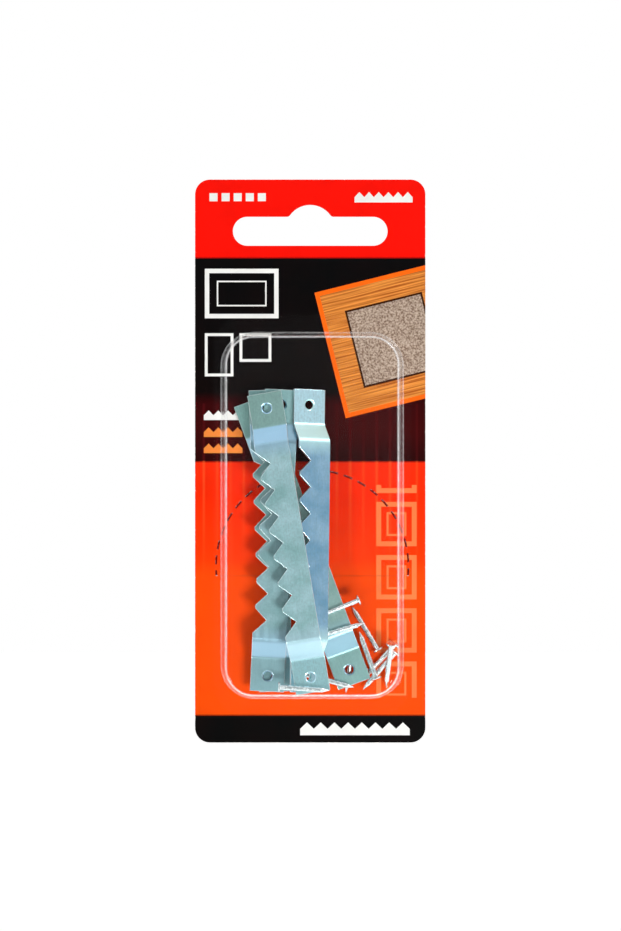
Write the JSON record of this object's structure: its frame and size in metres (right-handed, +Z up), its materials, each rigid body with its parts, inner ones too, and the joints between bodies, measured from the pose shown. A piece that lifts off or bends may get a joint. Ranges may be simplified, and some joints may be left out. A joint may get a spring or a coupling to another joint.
{
  "type": "carded pack of sawtooth picture hangers",
  "caption": "Shop card with a hang slot and a perforated door, and a clear blister holding loose sawtooth picture hangers and their nails.",
  "frame": {"origin": "highest point of the hang slot's dome, on the back face of the card, where the shop's hook carries the pack", "axes": "+Z up along the card, +X to the right as seen from the printed front, +Y out of the card's back; the printed front looks along -Y"},
  "size_m": [0.0572, 0.016, 0.1397],
  "materials": {
    "printed_card": "printed solid bleached board with a thin gloss coat",
    "clear_film": "clear thermoformed polyester sheet, glossy",
    "zinc_steel": "zinc-plated stamped steel, satin",
    "nail_steel": "bright zinc-plated wire, satin"
  },
  "bodies": {
    "pack": {"backing_card": "printed_card", "blister": "clear_film"},
    "door": {"card_door": "printed_card"},
    "contents": {"hanger_1": "zinc_steel", "hanger_2": "zinc_steel", "hanger_3": "zinc_steel", "hanger_4": "zinc_steel", "hanger_5": "zinc_steel", "nail_1": "nail_steel", "nail_2": "nail_steel", "nail_3": "nail_steel", "nail_4": "nail_steel", "nail_5": "nail_steel", "nail_6": "nail_steel", "nail_7": "nail_steel", "nail_8": "nail_steel", "nail_9": "nail_steel", "nail_10": "nail_steel"}
  },
  "joints": [
    {"name": "door_fold", "type": "hinge", "parent": "pack", "child": "door", "pos_m": [0.0005, 0, -0.09203], "axis": [1, 0, 0], "range_deg": [-150, 0]},
    {"name": "contents_slide", "type": "slide", "parent": "pack", "child": "contents", "axis": [0, 0, 1], "range_m": [0, 0.0115]}
  ]
}
